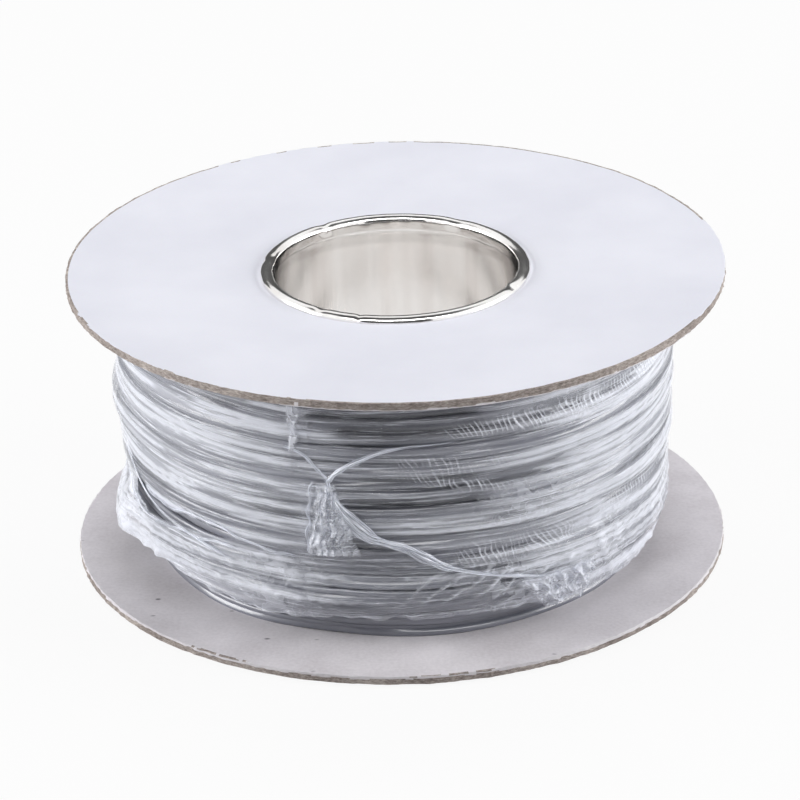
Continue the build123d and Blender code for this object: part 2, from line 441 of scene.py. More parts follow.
def bunched_film():
    """The same film drawn into a ribbon: many layers, so milky white, with bright threads that
    run along it and clear gaps between them where it fans out."""
    m = new_material("bunched_stretch_film")
    uv = add(m, "UVMap", {"uv_map": "sheet"})                 # along it, and across it in mm
    dense, edge = (add(m, "Attribute", {"attribute_name": name}).outputs["Fac"]
                   for name in ("dense", "edge"))
    long = add(m, "Mapping", inputs={"Vector": uv, "Scale": (0.9, 5.0, 1)})
    thread = add(m, "TexNoise", inputs={"Vector": long, "Scale": 1.0, "Detail": 4.0,
                                        "Roughness": 0.65, "Distortion": 0.35})
    clear = add(m, "MapRange", inputs={0: thread, 1: 0.42, 2: 0.60, 3: 0.04, 4: 0.80})
    milky = add(m, "MapRange", inputs={0: thread, 1: 0.38, 2: 0.56, 3: 0.30, 4: 0.98})
    solid = add(m, "Mix", {"data_type": "FLOAT"}, {"Factor": dense, "A": clear, "B": milky})
    alpha = add(m, "Math", TIMES, {0: solid, 1: edge})
    tint = add(m, "ValToRGB", {"stops": [(0.36, "#BFC8DC"), (0.50, "#EFF3FF")]}, {"Fac": thread})
    relief = add(m, "Bump", inputs={"Strength": 0.6, "Distance": 0.0004, "Height": thread})
    return close_material(m, "BsdfPrincipled", {
        "Base Color": tint, "Roughness": 0.16, "IOR": 1.51, "Coat Weight": 0.7,
        "Coat Roughness": 0.08, "Alpha": alpha, "Normal": relief})


# --- Flanges ------------------------------------------------------------------------------

def outer_face(r):
    return mid - dish * (rim_r - r) / (rim_r - hole_r)


def inner_face(r):
    return outer_face(r) - board_t


def card_flange(name, node, side, seed):
    """A die-cut disc of laminated board, bent outwards a little, with a ragged fibrous rim."""
    paper_t, plies, rim_top = 0.22, 7, outer_face(rim_r)
    across = [hole_r, 40.5, 46, 54, 62, 70, 78, 85, 91, 95, 97.5, 99, rim_r - 0.25]
    outline = [(r, outer_face(r)) for r in across]
    outline += [(rim_r - 0.05, rim_top - 0.08), (rim_r - 0.02, rim_top - paper_t)]
    outline += [(rim_r - 0.1 - 0.05 * (k % 2), rim_top - paper_t - k * (board_t - paper_t) / plies)
                for k in range(1, plies)]
    outline += [(r, inner_face(r)) for r in [rim_r - 0.35] + across[-2::-1]]
    outline.append(outline[0])
    disc = turned(outline, 540)
    r, a, h = polar(points_of(disc))
    depth = (outer_face(r) - h) / board_t                     # 0 on the paper, 1 on the inner face
    fibre = ripple(a, seed, 60, 200) * 0.10 + ripple(a + 3 * depth, seed + 1, 20, 60) * 0.06
    torn = ripple(a + 40 * np.round(depth * plies), seed + 2, 80, 220) * 0.13 * (depth > 0.12)
    on_rim = step(r, rim_r - 0.6, rim_r - 0.1)
    near_rim = step(r, rim_r - 3, rim_r)
    r = r + (fibre + torn) * on_rim - 0.25 * on_rim
    sway = ripple(a, seed + 3, 2, 5) * 0.18 + ripple(a, seed + 4, 6, 14) * 0.09
    h = h + (sway - 0.42) * step(r, 55, rim_r) + ripple(a, seed + 5, 30, 80) * 0.05 * near_rim
    h = np.minimum(h, mid - 0.03)
    set_points(disc, unpolar(r, a, h * side))
    settle(disc, name)
    if side < 0:
        edit_all()
        bpy.ops.mesh.flip_normals()
        bpy.ops.object.mode_set(mode="OBJECT")

    paper, board, cut = range(3)

    def which(face):
        x, y, z = face.center / MM
        radius, azimuth = math.hypot(x, y), math.degrees(math.atan2(x, -y))
        from_face = (outer_face(radius) - abs(z - mid)) / board_t
        if radius > rim_r - 0.9 and 0.14 < from_face < 1.06:
            if side < 0 and from_face > 0.84:
                return board                                  # the liner stands a little proud
            chip = side > 0 and abs(azimuth + 17.0) < 0.4 and 0.55 < from_face < 0.95
            return board if chip else cut
        # The inner liner is picked off in two stretches of the lower rim.
        if side < 0 and from_face > 0.5 and (-39 < azimuth < -28 or 1 < azimuth < 15):
            picked = 0.9 + 0.9 * math.sin(azimuth * 2.1) * math.sin(azimuth * 0.7)
            if radius > rim_r - picked:
                return cut
        return paper if from_face < 0.5 else board

    finish_faces(disc, [PAPER, BOARD, CUT], which, 50)
    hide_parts(node)
    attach(disc, "root")


# --- Core ---------------------------------------------------------------------------------

# Small crimps where the curl was dented as it was rolled over the card: azimuth, width, how far
# inwards and how far down.
CRIMPS = ((-146, 3.2, 0.5, 0.35), (62, 3.4, 0.45, 0.4), (-35, 3.0, -0.35, 0.3),
          (-16, 1.2, -0.3, 0.35), (150, 4.0, 0.3, 0.25), (-100, 4.0, 0.35, 0.2))


def tin_core():
    """The tube as it is rolled: neck, shoulder and a lip curled out over the card."""
    shoulder = inner_face(neck_r) - 0.1
    seat = outer_face(neck_r) + 0.1
    crown = lip_top - seat
    half = [(barrel_in_r, height) for height in (0, 6, 14, 24, 34, shoulder - 3.2, shoulder - 1.6)]
    half += [(barrel_in_r - 0.1, shoulder - 0.7), (barrel_in_r - 0.5, shoulder - 0.5),
             (bore_r + 1.0, shoulder - 0.45), (bore_r + 0.55, shoulder - 0.36),
             (bore_r + 0.22, shoulder - 0.12), (bore_r + 0.05, shoulder + 0.25),
             (bore_r, shoulder + 0.7), (bore_r, seat - 0.2)]
    middle, reach, flats = (bore_r + lip_r) / 2, (lip_r - bore_r) / 2, 12
    for k in range(flats + 1):
        turn = math.pi * (1 - k / flats)
        half.append((middle + reach * math.cos(turn), seat + crown * math.sin(turn) ** 0.8))
    half += [(lip_r - 0.25, seat - 0.02), (neck_r + 0.05, seat - 0.02), (neck_r, seat - 0.3),
             (neck_r, shoulder), (barrel_r - 0.2, shoulder - 0.02), (barrel_r, shoulder - 0.3)]
    half += [(barrel_r, height) for height in (30, 15, 0)]
    lower = [(r, -h) for r, h in half[::-1][1:-1]]
    core = turned(half + lower + [half[0]], 288)
    r, a, h = polar(points_of(core))
    on_lip = step(abs(h), seat - 0.3, seat + 0.2)
    for centre, width, inward, down in CRIMPS:
        away = beside(a, centre)
        dent = bump_at(away, 0, width) * on_lip
        slant = np.clip(away / width, -1, 1)
        r -= dent * inward * (0.6 + 0.8 * slant)
        h -= np.sign(h) * dent * down * (0.7 - 0.5 * slant) * (r < lip_r - 0.1)
    uneven = ripple(a, 71, 2, 9) * 0.10 + ripple(a, 72, 10, 40) * 0.035
    r += uneven * on_lip
    inside = step(barrel_in_r - r + 5 * (abs(h) < 39), 0, 1) * (r < barrel_r - 0.1)
    r += (ripple(a, 73, 2, 7) * 0.05) * inside
    # The sheet's overlap runs up the inside as one fine edge.
    over = beside(a, -6)
    overlap = 0.22 * step(over, -0.6, 0.6) * (1 - step(over, 5, 9))
    r += np.where((abs(h) < shoulder - 2) & (r < barrel_in_r + 0.1), overlap, 0)
    set_points(core, unpolar(r, a, h))
    settle(core, "tin_core")
    finish_faces(core, [TIN], smooth_angle=60)
    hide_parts("core_tube")
    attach(core, "root")


# --- Cable --------------------------------------------------------------------------------

top_gap = 0.1
turns_high = 18
pitch = 2 * (inner_face(wound_r) - top_gap) / turns_high
outer_turns = turns_high - len(layers_missing)
top_layers = [0] * outer_turns + list(layers_missing)     # layers that are missing over each turn
JOG = 0.10                                 # part of a turn in which it steps down to the next
START = 208.0                              # azimuth where each layer's turns are counted from

# Stretches where the turns lie deeper and the film spans over them: height, half height,
# azimuth, half width, depth.
SUNKEN = ((33.4, 1.9, -1, 20, 2.3), (28.6, 1.9, 2, 18, 2.2), (31.6, 1.3, -50, 22, 1.3),
          (13.4, 1.4, 4, 15, 2.0), (9.2, 0.9, 9, 13, 1.2), (5.4, 1.9, 3, 17, 2.1),
          (-9.3, 2.2, -8, 9, 2.3), (-11.9, 1.1, -29, 13, 0.9), (-22.8, 1.5, 0, 22, 1.7),
          (-24.0, 1.3, -23, 10, 1.3), (-4.3, 1.3, -62, 12, 1.1), (28.2, 1.5, 34, 26, 1.3),
          (-12.4, 1.6, 24, 18, 1.3), (12.0, 1.2, 26, 12, 0.9), (-8.0, 1.3, 58, 16, 1.1),
          (20.0, 1.5, 150, 26, 1.4), (-6.0, 1.5, 196, 22, 1.3), (30.0, 1.5, 232, 20, 1.3),
          (2.0, 1.5, 108, 16, 1.2), (-20.0, 1.5, 128, 18, 1.2), (-16.0, 1.5, 245, 16, 1.2))


def turn_height(turn):
    return inner_face(wound_r) - top_gap - (turn + 0.5) * pitch


def sunk_at(azimuth, height):
    """How deep the winding is sunk at each place."""
    depth = 0 * azimuth
    for level, tall, centre, wide, deep in SUNKEN:
        edge = step(wide - abs(beside(azimuth, centre)), 0, 7)
        depth = np.maximum(depth, deep * bump_at(height, level, tall) * edge)
    return depth


def lay_of(count, layer):
    """Where the cable's middle lies after a number of turns: radius, height and its roll."""
    whole = np.floor(count)
    k = whole + step(count - whole, 1 - JOG, 1.0)
    azimuth = START + 360 * count
    around = np.radians(azimuth)
    radius = wound_r - core_d * (layer + 0.5) + 0 * count
    height = turn_height(k)
    for wave in (1, 2, 3, 5, 8):
        dice = np.random.default_rng(900 + 10 * layer + wave)
        phase, drift = dice.uniform(0, FULL_TURN), dice.uniform(0.6, 2.4)
        rise = 0.22 * np.cos(around * wave + phase + drift * k)
        height = height + rise * (0.3 + 0.7 * step(k, 0, 1.5))
        radius = radius - 0.12 * (1 + np.cos(around * wave + phase * 2 + 2.1 * drift * k))
    roll = 0 * count
    for wave in (1, 2, 4, 7):
        dice = np.random.default_rng(1900 + 10 * layer + wave)
        phase, drift = dice.uniform(0, FULL_TURN), dice.uniform(1.2, 2.9)
        roll = roll + 11.0 * np.cos(around * wave + phase + drift * k)
    # Wound tighter at the right, the more the lower, and pinched at the left under the film.
    tight = bump_at(beside(azimuth, 86), 0, 32)
    if layer:
        return radius - 0.6 * tight, height, roll
    radius = radius - tight * (1.5 * step(36 - height, 0, 6) + 2.4 * step(-height, -2, 20))
    radius = radius - sunk_at(azimuth, height)
    radius = radius - 2.0 * bump_at(beside(azimuth, -90), 0, 22) * bump_at(height, -15.5, 6)
    return radius, height, roll


def wound_cable(name, layer, first, last):
    """One layer of the cable, from one turn count to another, with the section of two cores."""
    turns, sides, steps_a_turn = last - first, 20, 168
    steps = int(round(turns * steps_a_turn))
    deselect()
    bpy.ops.mesh.primitive_circle_add(vertices=sides, radius=core_d * MM,
                                      location=((wound_r - core_d / 2) * MM, 0, 0),
                                      rotation=(math.pi / 2, 0, 0))
    cable = bpy.context.object
    bpy.ops.object.transform_apply(location=True, rotation=True, scale=True)
    use_modifier(cable, "SCREW", axis="Z", angle=math.radians(360 * turns),
                 screw_offset=-pitch * turns * MM, steps=steps, render_steps=steps,
                 use_merge_vertices=False, use_smooth_shade=True)
    index = np.arange(len(cable.data.vertices))
    along = first + (index // sides) / steps * turns
    around = (index % sides) / sides
    # Round the upper core, then round the lower one; the web lies between.
    upper = around < 0.5
    part = np.where(upper, around * 2, around * 2 - 1)
    swing = np.radians(np.where(upper, -60 + 300 * part, 120 + 300 * part))
    out = core_d / 2 * np.cos(swing)
    up = core_d / 2 * np.sin(swing) + np.where(upper, core_d / 2, -core_d / 2)
    radius, height, roll = lay_of(along, layer)
    if layer:
        radius = radius - 1.25 * core_d * step(along, last - 0.10, last)     # tucked in at its end
    tilt = np.radians(roll)
    r = radius + out * np.cos(tilt) - up * np.sin(tilt)
    h = height + out * np.sin(tilt) + up * np.cos(tilt)
    limit = inner_face(np.clip(r, hole_r, rim_r)) - 0.06
    h = np.clip(h, -limit, limit)
    set_points(cable, unpolar(r, START + 360 * along, h))
    if layer == 0:
        # Painted shade: how deep each outer turn is sunk, for the PVC to darken it.
        mark(cable, "deep", sunk_at(START + 360 * along, h) / 2.0)
    only(cable)
    bpy.ops.object.mode_set(mode="EDIT")
    bpy.ops.mesh.select_mode(type="EDGE")
    bpy.ops.mesh.select_all(action="DESELECT")
    bpy.ops.mesh.select_non_manifold()
    bpy.ops.mesh.edge_face_add()
    bpy.ops.mesh.select_all(action="SELECT")
    bpy.ops.mesh.normals_make_consistent(inside=False)
    bpy.ops.object.mode_set(mode="OBJECT")
    settle(cable, name)
    finish_faces(cable, [PVC], smooth_angle=60)
    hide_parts("cable_winding")
    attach(cable, "root")


def packed_turns():
    """The turns further in, which are only seen as dark depth between the outer ones."""
    inner_r = barrel_r + 0.7
    outline = [(inner_r, wind_top - 0.9)]
    for turn, gone in enumerate(top_layers):
        crest = wound_r - core_d * (max(gone, 1) + 1) - 0.5
        for offset, deep in ((0.45, 0.7), (0.25, 0.0), (-0.25, 0.0), (-0.45, 0.7)):
            height = turn_height(turn + offset)
            outline.append((crest - deep, height if turn else min(height, wind_top - 0.4)))
    last_r = outline[-1][0]
    outline += [(last_r, -inner_face(last_r) + 0.2), (inner_r, -inner_face(inner_r) + 0.2),
                outline[0]]
    body = turned(outline, 240)
    settle(body, "packed_turns")
    finish_faces(body, [PVC], smooth_angle=60)
    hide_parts("cable_winding")
    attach(body, "root")


# --- Stretch film -------------------------------------------------------------------------

FLAP = -18.0                               # azimuth of the film's loose end
LAP = 7.0                                  # degrees that it lies over the start
FILM_TOP = inner_face(FILM_R) - 0.25
FILM_GAP = 0.22                            # from a core to the film that touches it

# Rows of pleats: height, rise for each degree, first and last azimuth, half height, whiteness.
PLEATED = ((27.8, 0.02, 5, 76, 2.4, 1.0), (15.0, -0.24, -4, 27, 1.6, 1.0),
           (18.4, 0.0, -9, 26, 3.2, 0.36), (-12.6, 0.0, 6, 42, 3.2, 1.0),
           (-8.6, 0.05, 42, 74, 2.2, 0.7), (20.0, 0.0, 126, 172, 2.4, 0.45),
           (-6.0, 0.0, -178, -146, 2.6, 0.5), (-20, 0.0, -150, -118, 2.4, 0.3))
# Crests at the front that the film lies on most tightly, whitened as a painted highlight: height,
# half height, whiteness.
TAUT = ((36.2, 1.2, 0.42), (31.0, 1.1, 0.50), (26.2, 1.2, 0.55), (13.2, 1.0, 0.45),
        (8.0, 0.9, 0.40), (-19.2, 1.0, 0.35))


def crest_cores(azimuth):
    """Radius and height of every core that can touch the film, at each azimuth."""
    cores = []
    base = np.mod(azimuth - START, 360) / 360
    for turn, layer in enumerate(top_layers):
        radius, height, roll = lay_of(turn + base, layer)
        after = top_layers[min(turn + 1, len(top_layers) - 1)]
        # Eased over the end of a layer.
        radius = radius - core_d * (after - layer) * step(base, 0.93, 0.995)
        tilt = np.radians(roll)
        for side in (1, -1):
            cores.append((radius - side * core_d / 2 * np.sin(tilt),
                          height + side * core_d / 2 * np.cos(tilt)))
    return cores


def hem_height(azimuth):
    """Height of the film's lower edge."""
    front = -34.0 + ripple(azimuth, 41, 3, 12) * 1.0 + ripple(azimuth, 42, 14, 40) * 0.30
    front = front - 3.2 * bump_at(azimuth, 48, 17) - 1.2 * bump_at(azimuth, -30, 20)
    lift = 4.5 * bump_at(azimuth, -78, 22) + 2.0 * bump_at(azimuth, 80, 14)
    lift += 4.0 * bump_at(beside(azimuth, 160), 0, 14) + 3.0 * bump_at(beside(azimuth, -150), 0, 16)
    return front + lift


def pleats_at(seen, h):
    """How far the film is drawn into fine pleats across a groove."""
    pleats = np.zeros_like(seen)
    for height, rise, start, end, tall, white in PLEATED:
        line = height + rise * (seen - start)
        row = white * bump_at(h, line, tall) * step(seen, start, start + 12)
        pleats = np.maximum(pleats, row * (1 - step(seen, end - 14, end)))
    # They come in bunches, some long and some hardly drawn.
    bunched = 0.86 + 0.50 * ripple(seen + 0.9 * h, 66, 14, 46)
    bunched = bunched + 0.28 * ripple(seen - 0.4 * h, 67, 70, 150)
    return pleats * np.clip(bunched, 0.15, 1)


def torn_at(a, seen, h):
    """1 where there is no film: past its ragged ends, and in a slit at the left where the skirt
    is pulled away from the turns."""
    # Both ends of the sheet cling so closely that they are only seen beside the knot.
    ragged = ripple(h * 4, 63, 2, 20) * 0.8
    start = 1 - step(a, FLAP - LAP + 1.2 + ragged, FLAP - LAP + 5.6 + ragged)
    end = step(a, FLAP + 360 - 5.0 + ragged, FLAP + 360 - 0.6 + ragged)
    end = end * (1 - bump_at(h, 0, 13) * (abs(h) < 14)) * (1 - 0.6 * bump_at(h, 29, 6))
    upper_edge = np.interp(seen, (-71.4, -65.6, -60.8, -52.3, -45.2, -37, -34),
                           (-2, -6.3, -8.8, -9.5, -8.3, -8.7, -10.8))
    lower_edge = np.interp(seen, (-71.4, -68.9, -66.9, -63.3, -58.8, -51.2, -46.1, -38.2, -34),
                           (-6, -10.6, -16.1, -17.9, -17.8, -16.4, -14.6, -13.3, -11.0))
    upper_edge = upper_edge + 0.5 * ripple(seen, 65, 30, 90)
    round_end = (seen + 66 + 3.4 * np.cos((h + 10.5) * 0.33)) * 1.5
    round_end = round_end + 0.5 * ripple(h * 9, 64, 4, 16)
    inside = np.minimum(np.minimum(upper_edge - h, h - lower_edge), round_end)
    slit = step(inside, 0.2, 0.9) * (1 - step(seen, -37, -34.5))
    return np.maximum(slit, np.maximum(start, end))


def film_sheet():
    """One sheet of film, wound once round the reel with its loose end lapped over. Gives how
    far out it lies, by column and row."""
    columns, rows = 760, 112
    film, x, y = flat_sheet(columns, rows)
    a = FLAP - LAP + (x + 0.5) * (360 + LAP)
    down = 0.5 - y
    seen = (a + 180) % 360 - 180
    h = FILM_TOP + (hem_height(seen) - FILM_TOP) * down

    def spot(azimuth, wide, height, tall):
        """One soft spot on the film as it lies by then, 1 at its middle."""
        return bump_at(seen, azimuth, wide) * bump_at(h, height, tall)

    # Clear of every core that it passes over, and bridged over the grooves, tighter on the right.
    touch = np.full_like(a, 70.0)
    bridge = np.full_like(a, 70.0)
    reach = core_d / 2 + FILM_GAP
    span = 3.2 + 1.2 * step(-seen, 0, 40) * step(seen + 180, 0, 60)
    for radius, height in crest_cores(a):
        away = h - height
        bulge = np.sqrt(np.maximum(reach ** 2 - away ** 2, 0))
        touch = np.maximum(touch, radius + bulge - 200 * (abs(away) > reach))
        bridge = np.maximum(bridge, radius + core_d / 2 + FILM_GAP - (away / span) ** 2)
    r = np.maximum(touch, bridge)
    # Slack skirt that hangs from the outer layer's last turns where the film wasn't drawn in.
    skirt = np.clip(bump_at(seen, -76, 17) + 0.2 * bump_at(seen, 64, 10)
                    + 0.8 * bump_at(beside(seen, 160), 0, 18)
                    + 0.8 * bump_at(beside(seen, -148), 0, 15), 0, 1)
    at_left = bump_at(seen, -86, 18)
    hang = 86.1 + 0.9 * ripple(seen, 51, 6, 26) * step(-h, 8, 30) - 1.6 * step(-h, 22, 34)
    hang = hang + 4.0 * at_left * bump_at(h, -29.5, 8)
    onset = step(-h, 4 + 12 * at_left, 9 + 14 * at_left)
    hung = r + (np.maximum(hang, r) - r) * skirt * onset
    r = np.where(h < turn_height(outer_turns - 1.4), hung, r)
    creases = ripple(seen + 0.35 * h, 52, 30, 90) * 0.22 * step(-h, 2, 24)
    creases = creases + ripple(seen - 0.5 * h, 53, 60, 150) * 0.10
    low = step(-h, 6, 22)
    # Slanting folds low at the front, where the turns under the film lie deepest.
    across = 0.82 * h - 0.86 * seen + 1.3 * ripple(seen + 0.8 * h, 58, 6, 22)
    folds = np.clip(np.cos(across * FULL_TURN / 4.4), 0, 1) ** 2
    folds = folds * (0.75 + 0.25 * ripple(seen, 59, 10, 40))
    folded = spot(15, 17, -23.0, 4.6) + 0.5 * spot(34, 12, -30, 4)
    r = r + 1.1 * folds * folded
    r = r + 0.12 + (creases + abs(creases)) * 0.5 * (0.25 + 0.75 * low)
    # Column of gathered film under the knot at the loose end.
    column = bump_at(seen, -14.5, 3.2) * step(12 - h, 0, 4) * step(h + 12, 0, 4)
    r += column * (0.55 + 0.5 * ripple(seen, 55, 100, 220) + 0.3 * np.cos(h * 2.3))
    # The loose end lies over the start, and the hem is rolled and stands off a little.
    r += 0.4 * step(a, FLAP + 360 - LAP - 3, FLAP + 360 - LAP + 1)
    r += 0.9 * step(down, 0.965, 1.0) * (0.6 + 0.5 * ripple(seen, 56, 20, 70))
    r += 2.0 * spot(-88, 14, 8, 5.5)                          # loose fold at the upper left
    r = np.minimum(r, 90.2)
    lie = np.zeros((columns + 1, rows + 1))
    lie[np.rint((x + 0.5) * columns).astype(int), np.rint(down * rows).astype(int)] = r
    h = h + ripple(seen, 57, 50, 140) * 0.15 * low

    # How milky the film is at each place, with painted glare and painted highlights added in.
    groove = np.clip((np.maximum(bridge, touch) - touch) / 0.4, 0, 1)
    left = step(-seen, 10, 36) * step(seen + 180, 30, 90)
    right = step(seen, 12, 40) * step(180 - seen, 30, 90)
    front = step(seen, -34, -22) * (1 - step(seen, 8, 22))
    # Painted glare: whiter at the left and right, where the side lights shine on the film.
    veil = 0.33 + 0.98 * left + 0.96 * right + 0.30 * step(abs(seen), 95, 150)
    veil += 0.10 * ripple(seen, 61, 3, 14) + 0.10 * low
    veil += 1.05 * spot(14, 13, -3.5, 5.0) + 0.25 * spot(-19, 7, -22, 6)
    veil -= 0.20 * spot(4, 22, -26, 6)
    veil += front * sum(white * bump_at(h, height, tall) for height, tall, white in TAUT)
    # The film lies tighter on some turns than on others, in long level bands.
    slope = np.sin(np.radians(seen))
    bands = sum(np.cos(h * FULL_TURN / apart + drift * slope + phase)
                for apart, drift, phase in ((9.7, 0.6, 1.0), (6.1, -0.8, 2.2), (15, 1.3, 0)))
    veil = veil * np.clip(1 + 0.42 * bands, 0.15, 2.2)
    # Painted highlight: white on the crests that the film is drawn over, clear in the grooves.
    flank = np.clip(left + right, 0, 1)
    on_crest = (0.92 - 0.16 * flank) * (1 - groove) ** (1.7 - 0.6 * flank)
    veil = veil * (0.08 + 0.16 * flank + on_crest)
    # Painted shade: clearer over the sunken turns, so that they show darker.
    veil = veil * (1 - 0.66 * np.clip(sunk_at(seen, h), 0, 1.4))
    veil = veil + 0.25 * step(down, 0.93, 1) + 0.4 * np.clip(column, 0, 1) + 0.3 * skirt * low
    tip, crushed = spot(36, 9, -30, 5), spot(43, 13, -11.4, 1.9)
    veil = veil + folded * (0.95 * folds - 0.22) + 0.35 * tip + 0.8 * crushed

    # How crumpled it is.
    crumple = 0.62 * low * np.clip(0.45 + 0.6 * ripple(seen, 62, 4, 16), 0, 1)
    crumple = crumple * (1 - 0.75 * bump_at(seen, 2, 22))
    crumple += 0.5 * np.clip(column, 0, 1) + 0.5 * skirt * low
    crumple += 0.6 * spot(26, 12, 2, 7) + 0.7 * spot(38, 14, 30, 7)
    crumple = 0.8 * crumple + 0.7 * spot(-20.5, 2.0, 32, 4) + 0.8 * tip + 0.3 * folded
    crumple += 0.6 * crushed
    lay_sheet(film, unpolar(r, a, h), np.radians(a) * FILM_R / 100, h / 100,
              {"veil": veil, "pleats": pleats_at(seen, h), "crumple": crumple,
               "torn": torn_at(a, seen, h)})
    settle(film, "stretch_film")
    finish_faces(film, [FILM], smooth_angle=80)
    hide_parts("film_wrap")
    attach(film, "root")
    return lie


def film_radius(azimuth, height):
    """How far out the sheet lies at each place."""
    down = np.clip((height - FILM_TOP) / (hem_height(azimuth) - FILM_TOP), 0, 1)
    column = ((azimuth - FLAP + LAP) % 360) / (360 + LAP) * (FILM_LIE.shape[0] - 1)
    row = down * (FILM_LIE.shape[1] - 1)
    return FILM_LIE[np.rint(column).astype(int), np.rint(row).astype(int)]


def seat_at(azimuth, height):
    """Where something drawn tight over the sheet lies: on the higher crests close by."""
    near = [film_radius(azimuth + aside, height + above)
            for aside in (-1.2, 0, 1.2) for above in (-2.2, -1.1, 0, 1.1, 2.2)]
    return 0.65 * np.max(near, axis=0) + 0.35 * np.mean(near, axis=0)


def through(values, at):
    """A smooth line through the values, read at places counted from 0 to the last one."""
    values = np.asarray(values, dtype=float)
    before, after = 2 * values[0] - values[1], 2 * values[-1] - values[-2]
    padded = np.concatenate([[before], values, [after]])
    k = np.clip(np.floor(at).astype(int), 0, len(values) - 2)
    t = at - k
    p0, p1, p2, p3 = padded[k], padded[k + 1], padded[k + 2], padded[k + 3]
    return p1 + 0.5 * t * (p2 - p0 + t * (2 * p0 - 5 * p1 + 4 * p2 - p3
                                          + t * (3 * (p1 - p2) + p3 - p0)))


def drawn_ribbon(name, path, folds, seed, density=1.0):
    """Film drawn into a ribbon that fans out and gathers again, over the sheet. Each point of
    the path is an azimuth, a height, how far it stands off and the ribbon's half width."""
    dice = np.random.default_rng(seed)
    last = len(path) - 1
    ribbon, x, y = flat_sheet(26 * last, 6 * folds + 6)
    along, across = (x + 0.5) * last, y * 2
    azimuth, height, stand, half_width = np.array(path).T
    middle_a, middle_h = through(azimuth, along), through(height, along)
    run = (through(azimuth, along + 0.05) - middle_a) * DEGREE
    rise = through(height, along + 0.05) - middle_h
    length = np.hypot(run, rise) + 1e-6
    wide = np.maximum(through(half_width, along), 0.12) * (1 + 0.10 * np.sin(along * 5 + seed))
    a = middle_a - across * wide * rise / length / DEGREE
    h = middle_h + across * wide * run / length
    pleat = np.zeros_like(along)
    for k in range(folds):
        middle = dice.uniform(-0.8, 0.8)
        middle = middle + 0.35 * np.sin(along * dice.uniform(0.6, 1.5) + dice.uniform(0, FULL_TURN))
        tall = dice.uniform(0.5, 1.0)
        pleat = np.maximum(pleat, tall * bump_at(across, middle, dice.uniform(0.12, 0.28)))
    body = np.sqrt(np.maximum(1 - across ** 2, 0))
    seats = seat_at(azimuth, height) + 0.5 * stand
    r = through(seats, along) + 0.12 + body * (0.16 + 0.16 * wide)
    r = r + 0.5 * np.minimum(wide, 1.4) * pleat * body
    ends = step(along, 0, 0.5) * (1 - step(along, last - 0.7, last))
    lay_sheet(ribbon, unpolar(r, a, h), along * 0.5, across * np.clip(wide, 0.4, 4) + seed * 7.3,
              {"dense": density * np.clip(1.25 - 0.38 * wide + 0.5 * pleat, 0, 1),
               "edge": step(1 - abs(across), 0, 0.30) * ends})
    settle(ribbon, name)
    finish_faces(ribbon, [ROPE], smooth_angle=70)
    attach(ribbon, "root")


def gathered_film(name, top, bottom, low, high, seed, rough, stand):
    """A small crumpled gather of film that stands off the sheet, between two azimuths at its
    top and two at its bottom."""
    cell = 0.3
    wide, tall = max(top[1] - top[0], bottom[1] - bottom[0]) * DEGREE, high - low
    gather, x, y = flat_sheet(int(wide / cell), int(tall / cell))
    across, up = x + 0.5, y + 0.5
    first = bottom[0] + (top[0] - bottom[0]) * up
    last = bottom[1] + (top[1] - bottom[1]) * up
    a, h = first + across * (last - first), low + up * tall
    dice = np.random.default_rng(seed)
    folds = np.zeros_like(a)
    for k in range(14):
        turn, reach = dice.normal() * 0.6, dice.uniform(2.2, 7.0)
        line = a * DEGREE * math.cos(turn) + h * math.sin(turn)
        crease = np.sin(line * FULL_TURN / 2 / reach + dice.uniform(0, FULL_TURN))
        folds += (1 - abs(crease)) ** 2 * reach / 6
    border = np.minimum(np.minimum(across, 1 - across) * (last - first) * DEGREE,
                        np.minimum(up, 1 - up) * tall)
    r = seat_at(a, h) + 0.05 + stand * step(border, 0, 1.5)
    r = np.minimum(r + rough * folds / 4 * step(border, 0, 1.2), 88.8)
    a = a + 0.4 * np.sin(h * 0.9 + seed) * (across - 0.5) + ripple(h * 5, seed + 3, 3, 12) * 0.3
    fade = step(border, 0, 1.6)
    lay_sheet(gather, unpolar(r, a, h), np.radians(a) * FILM_R / 100, h / 100,
              {"veil": 0.36 * fade, "pleats": 0 * fade, "crumple": fade,
               "torn": 1 - step(border, 0, 0.6)})
    settle(gather, name)
    finish_faces(gather, [FILM], smooth_angle=35)
    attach(gather, "root")


# --- Cut end ------------------------------------------------------------------------------

def stranded_conductor(name, node):
    """Seven drawn strands, one in the middle and six round it, just proud of the insulation."""
    strand_r, ring_r, length, bevel = 0.125, 0.26, 10.0, 0.02
    low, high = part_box(node)
    middle = (low + high) / 2
    # The last turn stops 96 degrees from +X, and the middle of its end is 5.1 mm further on.
    theta = math.radians(96 + math.degrees(5.1 / (wound_r - core_d / 2)))
    outward = Vector((math.cos(theta), math.sin(theta), 0))
    ring = [(ring_r * math.cos(k * math.pi / 3), ring_r * math.sin(k * math.pi / 3))
            for k in range(1, 7)]
    wires = []
    for out, up in [(0, 0)] + ring:
        place = middle + outward * out * MM + Vector((0, 0, up * MM))
        deselect()
        bpy.ops.mesh.primitive_cylinder_add(vertices=12, radius=strand_r * MM, depth=length * MM,
                                            location=place, rotation=(math.pi / 2, 0, theta))
        wires.append(bpy.context.object)
        edit_all()
        bpy.ops.mesh.bevel(offset=bevel * MM, segments=2, affect="EDGES")
        bpy.ops.object.mode_set(mode="OBJECT")
    only(wires[0])
    for wire in wires:
        wire.select_set(True)
    bpy.ops.object.join()
    core = settle(bpy.context.object, name)
    finish_faces(core, [COPPER], smooth_angle=40)
    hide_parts(node)
    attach(core, "root")


# --- Staging ------------------------------------------------------------------------------

